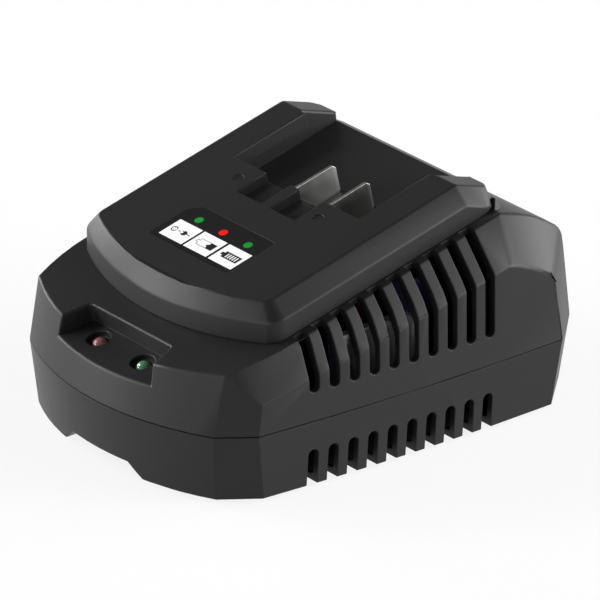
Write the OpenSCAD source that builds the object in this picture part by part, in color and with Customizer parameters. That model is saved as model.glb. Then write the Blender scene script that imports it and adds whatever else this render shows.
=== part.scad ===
// Battery charger for cordless power tools: a two-part housing with a raised, tilted battery dock.
// X is left to right, Y runs from the front with the lamps to the rear, and Z is up.
// The origin lies on the table, under the middle of the object.

/* [Housing] */
// Width across the rear corners at the parting line
housing_w = 113.8; // [106:0.2:120]
// Length from the middle of the curved front to the rear wall
housing_l = 142.5; // [138:0.5:150]
// Width across the front ends of the side walls
front_w = 100; // [96:0.5:104]
// Width of the curved front between its two corner facets
nose_w = 84.2; // [80:0.2:88]
// Depth of each front corner facet, front to rear
corner_facet_l = 10.2; // [8:0.2:12]
// Radius of the curved front
nose_r = 88; // [84:1:100]
// Width of each rear corner facet, side to side
rear_facet_w = 12.4; // [10:0.2:14]
// Length of each rear corner facet, front to rear
rear_facet_l = 13.8; // [11:0.2:15]
// Thickness of the housing walls
wall = 2.2; // [1.8:0.1:2.6]
// Height of the underside above the table
foot_h = 1; // [0.8:0.1:1.5]
// Height of the parting line above the underside
seam_h = 20.6; // [20:0.1:22]
// Open shadow line between the two housing halves
seam_gap = 0.3; // [0.1:0.05:0.4]
// How far the lower walls draw in at the sides, from the parting line to the underside
draft_side = 1.5; // [1:0.1:2]
// How far the lower walls draw in at the front and the rear
draft_end = 2.6; // [2:0.1:3]
// Thickness of the floor
floor_t = 2.4; // [2:0.1:3]
// Radius of the edge between the ledge's rear slope and the rear wall
rear_edge_r = 7; // [5:0.5:9]
// Radius of the edges between the shoulders' rear slopes and the rear walls
shoulder_edge_r = 4; // [3:0.5:7]

/* [Deck and shoulders] */
// Slope of the dock, the ledge around it and the shoulders, in degrees
tilt = 12.93; // [12:0.1:13.5]
// Fall of the dock's rails behind their crest, in degrees
rear_fall = 18; // [16:0.2:20]
// Fall of the ledge and the shoulders just behind their crests, in degrees
ease_fall = 14; // [10:1:18]
// Fall of the ledge and the shoulders where the rear edge begins, in degrees
steep_fall = 38; // [30:1:42]
// Height of the dock's top over the table, at the back of its front block
deck_z = 65.7; // [64:0.1:68]
// Distance of the back of the front block behind the middle of the object
deck_y = 4.3; // [2:0.1:6]
// Height of the side walls at the front corner facets
shoulder_z = 30.9; // [30:0.1:32]
// Width across the ledge between its two shoulder edges
ledge_w = 93.6; // [92:0.2:95]
// Distance of the ledge's crest behind the middle of the object
ledge_crest_y = 42; // [40:0.5:43]

/* [Battery dock] */
// Width of the dock at its skirt
dock_w = 87.4; // [86:0.2:89]
// Width of the flat top of the dock
dock_top_w = 77.8; // [77:0.2:79]
// Height of the dock above the ledge, square to its top
dock_h = 11.2; // [11:0.1:13]
// Drop of the bevel around the dock's top, straight down
dock_bevel = 5; // [4:0.1:6]
// Distance from the back of the front block to the front of the skirt
dock_reach = 53.8; // [53:0.1:55]
// Radius of the dock's curved front
dock_front_r = 93; // [88:1:98]
// Radius of the dock's front corners
dock_corner_r = 5.5; // [4.5:0.5:7]
// Distance from the back of the front block to the crest where the rails fall away
dock_crest = 27.4; // [26:0.2:29]
// Distance from the back of the front block to the rear end of the dock
dock_tail = 40.7; // [40:0.1:42]
// Thickness of the dock's skins
dock_wall = 2.2; // [1.8:0.1:2.4]
// Clear width between the two rail lips
channel_w = 55.8; // [54:0.2:57]
// Depth of the battery channel
channel_depth = 9.7; // [9.2:0.1:9.9]
// Thickness of the rail lips
lip_t = 5; // [4:0.1:5.5]
// Depth of the grooves under the rail lips
groove_w = 1.8; // [1.2:0.1:2]
// Width of each of the two notches in the front block
notch_w = 11.2; // [10:0.2:12]
// Length of the notches
notch_l = 11.5; // [10:0.5:13]
// Depth of the notches
notch_depth = 3.1; // [2.5:0.1:3.5]
// Width of the tongue between the notches
tongue_w = 3.8; // [3.4:0.1:4.5]

/* [Terminals] */
// Length of a terminal blade
blade_l = 15.2; // [14:0.2:16]
// Thickness of a terminal blade
blade_t = 1; // [0.8:0.1:1.2]
// Length of the taper at a blade's rear end
blade_taper = 1.4; // [1:0.1:2]
// Distance of the second blade from the middle one
blade_pitch = 15.2; // [14:0.1:16]
// Gap around a blade where it comes through the dock
blade_gap = 0.2; // [0.15:0.05:0.3]

/* [Vents] */
// Number of slots in each row
slot_count = 10; // [6:1:10]
// Distance from one slot to the next
slot_pitch = 6.85; // [6.4:0.05:6.9]
// Width of a slot
slot_w = 3.4; // [2.6:0.1:3.6]
// Distance of the first slot ahead of the middle of the object
slot_front = 31.5; // [31:0.5:33]
// Height of the bottom end of the upper slots over the parting line
upper_slot_z = 8.9; // [8:0.1:10]
// Height of the top end of the lower slots over the underside
lower_slot_h = 11.4; // [10:0.1:13]

/* [Front] */
// Width of the lamp recess at its back
recess_w = 37; // [35:0.5:39]
// Extra width of the lamp recess at its open front
recess_flare = 7; // [5:0.5:8]
// Depth of the lamp recess, square to the ledge
recess_depth = 5.8; // [5:0.1:6.2]
// Distance from the middle of the curved front to the back of the lamp recess
recess_l = 14.8; // [14:0.2:16]
// Distance from lamp to lamp
lamp_pitch = 20; // [18:0.5:22]
// Diameter of a lamp
lamp_d = 5; // [4.5:0.1:5.4]
// Diameter of the sunk ring around a lamp
lamp_ring_d = 7.3; // [6.6:0.1:8]
// Width of the finger notch under the front, at its top
finger_w = 25; // [22:0.5:28]
// Height of the finger notch
finger_h = 4.2; // [3.5:0.1:4.4]
// Reach of the finger notch under the front
finger_l = 14; // [12:0.5:16]

/* [Label] */
// Width of the label panel
label_w = 35.4; // [34:0.2:36]
// Length of the label panel
label_l = 18.2; // [17:0.2:19]
// Distance from the back of the front block to the label panel
label_y = 22.7; // [22:0.1:24]
// Size of the cut corner of the label panel
label_cut = 3.7; // [3:0.1:4.2]
// Depth of the recess that the label panel lies in
label_sink = 0.3; // [0.25:0.05:0.4]

/* [Circuit board] */
// Width of the main circuit board
board_w = 76; // [75:0.5:77]
// Length of the main circuit board
board_l = 86; // [85.5:0.5:87]
// Thickness of the circuit boards
board_t = 1.6; // [1.2:0.1:2]
// Height of the main circuit board's posts over the floor
board_post_h = 4.6; // [4:0.1:6]

/* [Fasteners and feet] */
// Diameter of the housing screws
screw_d = 3; // [2.6:0.1:3.2]
// Diameter of the small screws
small_screw_d = 2.4; // [2.2:0.1:2.6]
// Diameter of a rubber foot
foot_d = 10; // [8:0.5:11]
// Depth of the seats that the rubber feet are pressed into
foot_seat = 0.8; // [0.6:0.1:1]

/* [Hidden] */

round_fn = 48;
seam_z = foot_h + seam_h;
front_y = -housing_l/2;
rear_y = housing_l/2;
slope = tan(tilt);
fall = tan(rear_fall);
ledge_z = deck_z - dock_h/cos(tilt);
seat = 0.1;

// ---- Outlines -------------------------------------------------------------------------------

// Distance of a point of an arc of radius r behind the arc's foremost point
function arc_back(x, r) = r - sqrt(r*r - x*x);

nose_back = arc_back(nose_w/2, nose_r);
facet_y = front_y + nose_back + corner_facet_l;
rear_corner_y = rear_y - rear_facet_l;
side_l = rear_corner_y - facet_y;
side_bow = (housing_w - front_w)/2;

// Half width of the housing at the parting line
function side_x(y) = housing_w/2 - side_bow*pow((rear_corner_y - y)/side_l, 2);

function to_left(p) = [for (i = [0:len(p) - 1]) i == 0 ? -p[i] : p[i]];

// An outline, from its right half
function both_sides(half) =
    concat(half, [for (i = [len(half) - 1:-1:0]) if (half[i][0] > 0) to_left(half[i])]);

// Right half of the housing's plan, drawn in by dx at the sides, df at the front and dr at the rear
function housing_half(dx, df, dr) = concat(
    [for (i = [0:8]) let (x = (nose_w/2 - dx)*i/8) [x, front_y + df + arc_back(x, nose_r)]],
    [for (i = [0:8]) let (y = facet_y + df + (side_l - df - dr)*i/8) [side_x(y) - dx, y]],
    [[housing_w/2 - rear_facet_w - dx, rear_y - dr]]
);

function at_height(points, z) = [for (p = points) [p[0], p[1], z]];

// Height of a surface that rises with the deck, z0 high beside the back of the front block
function slope_z(y, z0) = z0 + (y - deck_y)*slope;

// Height of a surface that rises with the deck to its crest and then falls as the rails do
function ridge_z(y, z0, crest_y) = slope_z(min(y, crest_y), z0) - max(y - crest_y, 0)*fall;

// The body that a set of corner points spans
module spanned(points) {
    hull() polyhedron(points = points, faces = [for (i = [1:len(points) - 2]) [0, i, i + 1]]);
}

// Places its children on the dock's top, with Z square to it
module on_deck() {
    translate([0, deck_y, deck_z]) rotate([tilt, 0, 0]) children();
}

// A slot with round ends, along X, from z0 up to z1
module x_slot(x0, x1, y, z0, z1, w) {
    for (z = [z0 + w/2, z1 - w/2])
        translate([x0, y, z]) rotate([0, 90, 0]) cylinder(d = w, h = x1 - x0, $fn = round_fn);
    translate([x0, y - w/2, z0 + w/2]) cube([x1 - x0, w, z1 - z0 - w]);
}

// ---- Housing --------------------------------------------------------------------------------

module lower_form(t) {
    spanned(concat(
        at_height(both_sides(housing_half(t, t, t)), seam_z),
        at_height(both_sides(housing_half(t + draft_side, t + draft_end, t + draft_end)), foot_h)
    ));
}

// How far the upper walls lean in from the parting line to their tops
lean_front = 3.7;
rear_lean = 8;
corner_lean = 1.5;
shoulder_crest_y = ledge_crest_y - 4.2;
shoulder_rise = 0.4;
shoulder_y = facet_y + corner_lean;
shoulder_z0 = shoulder_z + (deck_y - shoulder_y)*slope;

// Side view behind a crest: a long arc that steepens, then the round into the leaning rear wall
function rear_profile(crest_y, crest_z, wall_y, r) =
    let (
        k = tan(rear_lean),
        upright = 90 - rear_lean,
        round_y = r*(sin(upright) - sin(steep_fall)),
        round_z = r*(cos(steep_fall) - cos(upright)),
        arc_y = sin(steep_fall) - sin(ease_fall),
        arc_z = cos(ease_fall) - cos(steep_fall),
        arc_r = (wall_y - crest_y - round_y - k*(crest_z - round_z - seam_z))/(arc_y - k*arc_z),
        y_mid = crest_y + arc_r*arc_y,
        z_mid = crest_z - arc_r*arc_z
    )
    concat(
        [for (i = [0:4]) let (a = ease_fall + (steep_fall - ease_fall)*i/4)
            [crest_y + arc_r*(sin(a) - sin(ease_fall)), crest_z - arc_r*(cos(ease_fall) - cos(a))]],
        [for (i = [1:4]) let (a = steep_fall + (upright - steep_fall)*i/4)
            [y_mid + r*(sin(a) - sin(steep_fall)), z_mid - r*(cos(steep_fall) - cos(a))]]
    );

function shoulder_half(t) = concat(
    [for (i = [0:5]) let (y = shoulder_y + t + (shoulder_crest_y - shoulder_y - t)*i/6)
        [side_x(y) - shoulder_rise - t, y, slope_z(y, shoulder_z0) - t]],
    [for (p = rear_profile(shoulder_crest_y, slope_z(shoulder_crest_y, shoulder_z0) - t,
        rear_corner_y - t, shoulder_edge_r)) [side_x(p[0]) - shoulder_rise - t, p[0], p[1]]]
);

ledge_bend_y = front_y + 37;
ledge_taper_y = ledge_crest_y + 8;

function ledge_half(t) =
    let (
        x_front = nose_w/2 + 0.5 - t,
        y_front = front_y + lean_front + t,
        x_side = ledge_w/2 - t,
        y_corner = y_front + arc_back(x_front, nose_r),
        taper = (ledge_w/2 - housing_w/2 + rear_facet_w)/(rear_y - ledge_taper_y)
    )
    concat(
        [for (i = [0:8]) let (x = x_front*i/8, y = y_front + arc_back(x, nose_r))
            [x, y, slope_z(y, ledge_z) - t]],
        [for (i = [1:4]) let (u = i/4, y = y_corner + (ledge_bend_y - y_corner)*u)
            [x_front + (x_side - x_front)*(1 - pow(1 - u, 2)), y, slope_z(y, ledge_z) - t]],
        [for (p = rear_profile(ledge_crest_y, slope_z(ledge_crest_y, ledge_z) - t, rear_y - t, rear_edge_r))
            [x_side - taper*max(0, p[0] - ledge_taper_y), p[0], p[1]]]
    );

module upper_form(t) {
    spanned(concat(
        at_height(both_sides(housing_half(t, t, t)), seam_z),
        both_sides(shoulder_half(t)),
        both_sides(ledge_half(t))
    ));
}

slot_ys = [for (i = [0:slot_count - 1]) i*slot_pitch - slot_front];
boss_spots = [[37, -46], [46, 43]];
boss_d = 8.4;
post_spots = [[33, -34], [33, 38]];
board_z = foot_h + floor_t + board_post_h;
foot_spots = [[37, -30], [39, 57]];
screw_head_d = 5.8;
screw_head_h = 2.4;
screw_shelf_z = foot_h + 7;
lip_h = 1.5;
lip_w = 1;
lip_gap = 0.15;
pilot_d = screw_d + 0.1;
small_pilot_d = small_screw_d + 0.1;

// Runs its children at each spot on the right and on the left
module each_side(spots) {
    for (p = spots, s = [-1, 1]) translate([s*p[0], p[1], 0]) children();
}

module seam_ring(outer, inner, z, h) {
    translate([0, 0, z]) linear_extrude(h) difference() {
        polygon(both_sides(housing_half(outer, outer, outer)));
        polygon(both_sides(housing_half(inner, inner, inner)));
    }
}

finger_side = 5;
finger_depth_y = front_y + finger_l;

module finger_shape(grow) {
    translate([0, finger_depth_y + grow, foot_h]) rotate([90, 0, 0]) linear_extrude(finger_l + grow + 1)
        polygon([
            [-finger_w/2 - finger_side - grow, -0.01], [finger_w/2 + finger_side + grow, -0.01],
            [finger_w/2 + grow, finger_h + grow], [-finger_w/2 - grow, finger_h + grow]
        ]);
}

inlet_x = 20;
inlet_w = 20.6;
inlet_h = 11.4;
inlet_z = foot_h + 11;
inlet_fit = 0.15;
inlet_face_y = rear_y - 1.1;
inlet_flange_y = inlet_face_y - 3.8;

module inlet_shape(grow, depth) {
    rotate([-90, 0, 0]) linear_extrude(depth) {
        for (s = [-1, 1]) translate([s*(inlet_w - inlet_h)/2, 0]) circle(d = inlet_h + 2*grow, $fn = round_fn);
        square([inlet_w - inlet_h, inlet_h + 2*grow], center = true);
    }
}

module lower_slots() {
    reach = wall + draft_side + 4;
    for (y = slot_ys, s = [0, 1]) mirror([s, 0, 0])
        x_slot(side_x(y) - reach, housing_w/2 + 1, y, foot_h - slot_w, foot_h + lower_slot_h, slot_w);
}

module lower_housing() {
    color([0.16, 0.16, 0.17]) difference() {
        union() {
            difference() {
                lower_form(0);
                difference() {
                    lower_form(wall);
                    translate([-housing_w, -housing_l, 0]) cube([2*housing_w, 2*housing_l, foot_h + floor_t]);
                }
                translate([-housing_w, -housing_l, seam_z - seam_gap/2]) cube([2*housing_w, 2*housing_l, 9]);
            }
            seam_ring(wall - lip_w, wall + 0.6, seam_z - 3, 3 + lip_h);
            intersection() {
                lower_form(0.6);
                finger_shape(wall);
            }
            each_side(boss_spots) translate([0, 0, foot_h + 1]) cylinder(d = boss_d, h = seam_h - 1, $fn = round_fn);
            each_side(post_spots) translate([0, 0, foot_h + 1])
                cylinder(d = 7, h = board_z - foot_h - 1, $fn = round_fn);
        }
        finger_shape(0);
        lower_slots();
        each_side(boss_spots) {
            translate([0, 0, foot_h - 1]) cylinder(d = screw_d + 0.4, h = seam_h + 2, $fn = round_fn);
            translate([0, 0, foot_h - 1]) cylinder(d = screw_head_d + 0.6, h = screw_shelf_z - foot_h + 1, $fn = round_fn);
        }
        each_side(post_spots) translate([0, 0, foot_h + 1.2])
            cylinder(d = small_pilot_d, h = board_post_h + floor_t, $fn = round_fn);
        each_side(foot_spots) translate([0, 0, foot_h - 1]) cylinder(d = foot_d + 0.2, h = foot_seat + 1, $fn = round_fn);
        translate([inlet_x, inlet_flange_y - 1, inlet_z]) inlet_shape(inlet_fit, rear_y - inlet_flange_y + 2);
    }
}

module upper_slots() {
    for (y = slot_ys, s = [0, 1]) mirror([s, 0, 0])
        x_slot(dock_w/2 + 0.4, housing_w/2 + 1, y, seam_z + upper_slot_z, deck_z + 20, slot_w);
}

recess_y = front_y + recess_l;

// Places its children on the ledge at the back of the lamp recess, with Z square to the ledge
module on_ledge() {
    translate([0, recess_y, slope_z(recess_y, ledge_z)]) rotate([tilt, 0, 0]) children();
}

recess_round = 1.5;

// The recess and its walls in plan, with round corners at the back
module recess_shape(grow, depth, top) {
    l = recess_l + 6;
    splay = atan(recess_flare/recess_l/2);
    r = recess_round + grow;
    cx = recess_w/2 + grow - r*(1 - sin(splay))/cos(splay);
    corner = [for (i = [0:4]) let (a = 90 - (90 - splay)*i/4) [cx + r*cos(a), grow - r + r*sin(a)]];
    translate([0, 0, -depth]) linear_extrude(depth + top)
        polygon(both_sides(concat(corner, [[recess_w/2 + recess_flare*l/recess_l/2 + grow, -l]])));
}

lamp_y = -5.2;
lamp_floor = -recess_depth;
lamp_board_drop = 6.5;
lamp_post_x = 15.5;
lamp_board_top = lamp_floor - wall - lamp_board_drop;

stop_gap = 0.3;
stop_rise = 2.3;

// The low ramps that close the rails' rear ends; each faces the rear and, at its outer corner, the side
module rail_stops() {
    x0 = channel_w/2 + groove_w;
    x1 = dock_w/2 - 1.7;
    y0 = dock_tail_y - 1;
    y1 = dock_tail_y + 1.5;
    side_y = ledge_crest_y - 0.9;
    base = slope_z(ledge_crest_y, ledge_z);
    difference() {
        for (s = [0, 1]) mirror([s, 0, 0]) spanned([
            [x0, y0, base + stop_rise], [x1, y0, base + stop_rise],
            [x0, y1, base - 1.5], [x1, y1, base - 1.5], [dock_w/2 + 1.5, side_y, base - 0.3],
            [x0, y1, base - wall], [x1, y1, base - wall], [x0, side_y, base - wall], [x1, side_y, base - wall]
        ]);
        dock_form(-stop_gap);
    }
}

carrier_x0 = -5;
carrier_x1 = blade_pitch + 5;
carrier_y0 = -1;
carrier_y1 = blade_l + 1.6;
carrier_fit = 0.2;
carrier_ear = 7;
carrier_h = 6.6;
dock_screw_spots = [[34, -32], [34, 16]];

module upper_housing() {
    color([0.17, 0.17, 0.18]) difference() {
        union() {
            difference() {
                upper_form(0);
                upper_form(wall);
                translate([-housing_w, -housing_l, seam_z - 1]) cube([2*housing_w, 2*housing_l, 1 + seam_gap/2]);
            }
            intersection() {
                upper_form(0.4);
                on_ledge() recess_shape(wall, recess_depth + wall, 0);
            }
            intersection() {
                upper_form(0.4);
                each_side(boss_spots) translate([0, 0, seam_z]) cylinder(d = boss_d, h = deck_z, $fn = round_fn);
            }
            on_ledge() for (s = [-1, 1]) translate([s*lamp_post_x, lamp_y, lamp_board_top])
                cylinder(d = 4.4, h = lamp_board_drop + 0.4, $fn = round_fn);
            rail_stops();
        }
        translate([0, 0, seam_z - 1]) linear_extrude(1 + lip_h + lip_gap)
            polygon(both_sides(housing_half(wall - lip_w - lip_gap, wall - lip_w - lip_gap, wall - lip_w - lip_gap)));
        on_ledge() recess_shape(0, recess_depth, 10);
        on_ledge() for (s = [-1, 1]) {
            translate([s*lamp_pitch/2, lamp_y, lamp_floor - wall - 3])
                cylinder(d = lamp_d + 0.3, h = wall + 6, $fn = round_fn);
            translate([s*lamp_pitch/2, lamp_y, lamp_floor - 1.2]) cylinder(d = lamp_ring_d, h = 4, $fn = round_fn);
            translate([s*lamp_post_x, lamp_y, lamp_board_top - 1])
                cylinder(d = small_pilot_d, h = lamp_board_drop + 1.6, $fn = round_fn);
        }
        upper_slots();
        each_side(boss_spots) translate([0, 0, seam_z - 1]) cylinder(d = pilot_d, h = 13, $fn = round_fn);
        on_deck() {
            translate([carrier_x0 - carrier_fit, carrier_y0 - carrier_fit, -dock_h - 12])
                cube([carrier_x1 - carrier_x0 + 2*carrier_fit, carrier_y1 - carrier_y0 + 2*carrier_fit, 20]);
            for (x = [carrier_x0 - carrier_ear/2, carrier_x1 + carrier_ear/2])
                translate([x, (carrier_y0 + carrier_y1)/2, -dock_h - 8])
                    cylinder(d = small_pilot_d, h = 12, $fn = round_fn);
            each_side(dock_screw_spots) translate([0, 0, -dock_h - 10])
                cylinder(d = screw_d + 0.4, h = 20, $fn = round_fn);
        }
    }
}

// ---- Battery dock ---------------------------------------------------------------------------

// Right half of the dock's plan; the corners are round and the front bulges
function dock_half(half_w, y_front, r_front, r_corner) =
    let (
        cx = half_w - r_corner,
        front_cy = y_front + r_front,
        cy = front_cy - sqrt(pow(r_front - r_corner, 2) - cx*cx),
        a0 = atan(cx/(front_cy - cy))
    )
    concat(
        [for (i = [0:8]) let (a = a0*i/8) [r_front*sin(a), front_cy - r_front*cos(a)]],
        [for (i = [1:5]) let (a = a0 + (90 - a0)*i/5) [cx + r_corner*sin(a), cy - r_corner*cos(a)]]
    );

function on_ridge(points, drop, crest_y) =
    [for (p = points) [p[0], p[1], ridge_z(p[1], deck_z, crest_y) - drop]];

dock_crest_y = deck_y + dock_crest;
dock_tail_y = deck_y + dock_tail;
dock_front_y = deck_y - dock_reach;
dock_top_set = 2.9;
tail_round = 6;
top_tail_set = 0.6;
top_tail_round = 3;
dock_sole = 2;

// The round corner between a side and the rear end, in plan
function tail_corner(x, y, r) = [for (a = [0:30:90]) [x - r + r*cos(a), y - r + r*sin(a)]];

module dock_form(t) {
    skirt = dock_half(dock_w/2 - t, dock_front_y + t, dock_front_r, dock_corner_r - t/2);
    top = dock_half(dock_top_w/2 - t/2, dock_front_y + dock_top_set + t, dock_front_r - 3, dock_corner_r - 2 - t/2);
    top_tail = concat([[dock_top_w/2 - t/2, dock_crest_y]],
        tail_corner(dock_top_w/2 - t/2, dock_tail_y - top_tail_set - t, top_tail_round));
    skirt_tail = concat([[dock_w/2 - t, dock_crest_y]], tail_corner(dock_w/2 - t, dock_tail_y - t, tail_round));
    spanned(concat(
        on_ridge(both_sides(concat(top, top_tail)), t, dock_crest_y),
        on_ridge(both_sides(concat(skirt, skirt_tail)), dock_bevel + t*0.6, dock_crest_y),
        on_ridge(both_sides(concat(skirt, skirt_tail)), (dock_h + dock_sole + t)/cos(tilt), dock_tail_y)
    ));
}

module label_shape(grow) {
    y1 = -label_y + grow;
    y0 = -label_y - label_l - grow;
    x1 = label_w/2 + grow;
    r = 1.2;
    difference() {
        polygon([[-x1, y0], [x1, y0], [x1, y1], [-x1 + label_cut, y1], [-x1, y1 - label_cut]]);
        for (c = [[x1, y1, 0], [x1, y0, -90], [-x1, y0, 180]]) translate([c[0], c[1]]) rotate(c[2])
            difference() {
                translate([-r, -r]) square(2*r);
                translate([-r, -r]) circle(r = r, $fn = 32);
                translate([-2*r, -2*r]) square([r, 4*r]);
                translate([-2*r, -2*r]) square([4*r, r]);
            }
    }
}

rail_end = dock_crest/cos(tilt) - 0.5;

// The space for the battery's foot; the rail lips end at the crest
module channel() {
    len = dock_tail + 20;
    wide = channel_w + 2*groove_w;
    translate([-channel_w/2, 0, -channel_depth]) cube([channel_w, len, channel_depth + 20]);
    translate([-wide/2, 0, -channel_depth]) cube([wide, len, channel_depth - lip_t]);
    translate([-wide/2, rail_end, -channel_depth]) cube([wide, len, channel_depth + 20]);
}

dimple_d = 3.4;
dimple_depth = 0.25;
dimple_spots = [[18, -6.7]];

module battery_dock() {
    color([0.15, 0.15, 0.16]) difference() {
        union() {
            difference() {
                dock_form(0);
                difference() {
                    dock_form(dock_wall);
                    on_deck() translate([-channel_w/2 - groove_w - dock_wall, -dock_wall, -60])
                        cube([channel_w + 2*groove_w + 2*dock_wall, 90, 100]);
                    on_deck() for (x = [-1, 1]) translate([x*(tongue_w + notch_w)/2, -notch_l/2, -notch_depth - 1.8 + 10])
                        cube([notch_w + 3, notch_l + 3, 20], center = true);
                }
                on_deck() translate([-60, -70, -dock_h - 20 + seat]) cube([120, 140, 20]);
            }
            on_deck() each_side(dock_screw_spots) translate([0, 0, -dock_h + seat])
                cylinder(d = 6.4, h = dock_h - seat - 2, $fn = round_fn);
        }
        on_deck() {
            channel();
            for (s = [-1, 1]) translate([s*(tongue_w + notch_w)/2 - notch_w/2, -notch_l, -notch_depth])
                cube([notch_w, notch_l + 1, 20]);
            for (x = [0, blade_pitch]) translate([x - blade_t/2 - blade_gap, 0.05, -dock_h - 5])
                cube([blade_t + 2*blade_gap, blade_l + 0.35, 10]);
            translate([0, 0, -label_sink]) linear_extrude(5) label_shape(0.1);
            each_side(dimple_spots) translate([0, 0, -dimple_depth]) cylinder(d = dimple_d, h = 1, $fn = round_fn);
            each_side(dock_screw_spots) translate([0, 0, -dock_h - 1]) cylinder(d = pilot_d, h = dock_h - 2, $fn = round_fn);
        }
    }
}

module label_panel() {
    color([0.11, 0.11, 0.12]) on_deck() translate([0, 0, -label_sink]) linear_extrude(label_sink - 0.05) label_shape(0);
}

// ---- Terminals ------------------------------------------------------------------------------

blade_top = 0.3;
blade_tail = 10;
blade_tail_y = 4.5;
blade_tail_w = 4.5;

module blade() {
    y0 = 0.15;
    difference() {
        translate([0, 0, -dock_h - blade_tail]) linear_extrude(dock_h + blade_tail - blade_top)
            polygon([
                [-blade_t/2, y0], [blade_t/2, y0], [blade_t/2, blade_l - blade_taper],
                [0.15, blade_l], [-0.15, blade_l], [-blade_t/2, blade_l - blade_taper]
            ]);
        translate([0, blade_l, -blade_top]) rotate([45, 0, 0]) cube([2*blade_t, 2, 2], center = true);
        for (y = [blade_tail_y - blade_l, blade_tail_y + blade_tail_w])
            translate([-blade_t, y, -dock_h - 30]) cube([2*blade_t, blade_l, 23]);
    }
}

module middle_blade() {
    color([0.72, 0.72, 0.7]) on_deck() blade();
}

module side_blade() {
    color([0.72, 0.72, 0.7]) on_deck() translate([blade_pitch, 0, 0]) blade();
}

carrier_top = -dock_h - 0.15;
plate_under = -dock_h - wall;
ear_t = 2.4;

module terminal_block() {
    color([0.2, 0.2, 0.21]) on_deck() difference() {
        union() {
            translate([carrier_x0, carrier_y0, carrier_top - carrier_h])
                cube([carrier_x1 - carrier_x0, carrier_y1 - carrier_y0, carrier_h]);
            translate([carrier_x0 - carrier_ear, carrier_y0, plate_under - ear_t])
                cube([carrier_x1 - carrier_x0 + 2*carrier_ear, carrier_y1 - carrier_y0, ear_t]);
        }
        for (x = [0, blade_pitch]) translate([x - blade_t/2 - 0.05, 0.1, -dock_h - 20])
            cube([blade_t + 0.1, blade_l + 0.1, 30]);
        for (x = [carrier_x0 - carrier_ear/2, carrier_x1 + carrier_ear/2])
            translate([x, (carrier_y0 + carrier_y1)/2, -dock_h - 20])
                cylinder(d = small_screw_d + 0.3, h = 30, $fn = round_fn);
    }
}

// A pan-head screw whose head bears on z = 0 and whose shank points up
module screw(d, head_d, head_h, l) {
    difference() {
        union() {
            translate([0, 0, -head_h]) cylinder(d = head_d, h = head_h, $fn = round_fn);
            cylinder(d = d, h = l, $fn = round_fn);
        }
        for (a = [0, 90]) rotate(a) translate([-head_d*0.32, -0.4, -head_h - 1])
            cube([head_d*0.64, 0.8, 1 + head_h*0.5]);
    }
}

small_head_d = 4.6;
small_head_h = 1.6;

module terminal_screws() {
    color([0.75, 0.75, 0.77]) on_deck() for (x = [carrier_x0 - carrier_ear/2, carrier_x1 + carrier_ear/2])
        translate([x, (carrier_y0 + carrier_y1)/2, plate_under - ear_t])
            screw(small_screw_d, small_head_d, small_head_h, ear_t + wall - 0.3);
}

// Height of a point of the deck's frame, and its distance behind the middle of the object
function deck_point_y(y, z) = deck_y + y*cos(tilt) - z*sin(tilt);
function deck_point_z(y, z) = deck_z + y*sin(tilt) + z*cos(tilt);

board_top = board_z + board_t;
board_rear_y = post_spots[1][1] + 8;
lead_d = 2.4;
tail_y = blade_tail_y + blade_tail_w/2;
sleeve_l = 3;

module terminal_leads() {
    z_tail = -dock_h - blade_tail - 0.05;
    y_end = deck_point_y(tail_y, z_tail - sleeve_l);
    z_end = deck_point_z(tail_y, z_tail - sleeve_l);
    color([0.6, 0.08, 0.06]) for (x = [0, blade_pitch]) {
        on_deck() translate([x, tail_y, z_tail - sleeve_l]) cylinder(d = lead_d + 1, h = sleeve_l, $fn = round_fn);
        translate([x, y_end, z_end]) sphere(d = lead_d, $fn = round_fn);
        translate([x, y_end, board_top]) cylinder(d = lead_d, h = z_end - board_top, $fn = round_fn);
    }
}

// ---- Lamps ----------------------------------------------------------------------------------

lamp_h = 8.6;
lamp_flange_d = 5.8;
lamp_board_t = 1.2;
lamp_board_w = 38;
lamp_board_l = 9;

module lamp(side) {
    on_ledge() translate([side*lamp_pitch/2, lamp_y, lamp_board_top]) {
        cylinder(d = lamp_flange_d, h = 1, $fn = round_fn);
        cylinder(d = lamp_d, h = lamp_h - lamp_d/2, $fn = round_fn);
        translate([0, 0, lamp_h - lamp_d/2]) sphere(d = lamp_d, $fn = round_fn);
    }
}

module red_lamp() {
    color([0.75, 0.35, 0.35]) lamp(-1);
}

module green_lamp() {
    color([0.2, 0.6, 0.3]) lamp(1);
}

module lamp_board() {
    color([0.1, 0.35, 0.2]) on_ledge() difference() {
        translate([-lamp_board_w/2, lamp_y - lamp_board_l/2, lamp_board_top - lamp_board_t])
            cube([lamp_board_w, lamp_board_l, lamp_board_t]);
        for (s = [-1, 1]) translate([s*lamp_post_x, lamp_y, lamp_board_top - 5])
            cylinder(d = small_screw_d + 0.3, h = 10, $fn = round_fn);
    }
}

module lamp_board_screws() {
    color([0.75, 0.75, 0.77]) on_ledge() for (s = [-1, 1])
        translate([s*lamp_post_x, lamp_y, lamp_board_top - lamp_board_t])
            screw(small_screw_d, small_head_d, small_head_h, lamp_board_t + lamp_board_drop - 0.6);
}

plug_w = 10;
plug_l = 5;
plug_h = 6.6;

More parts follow.
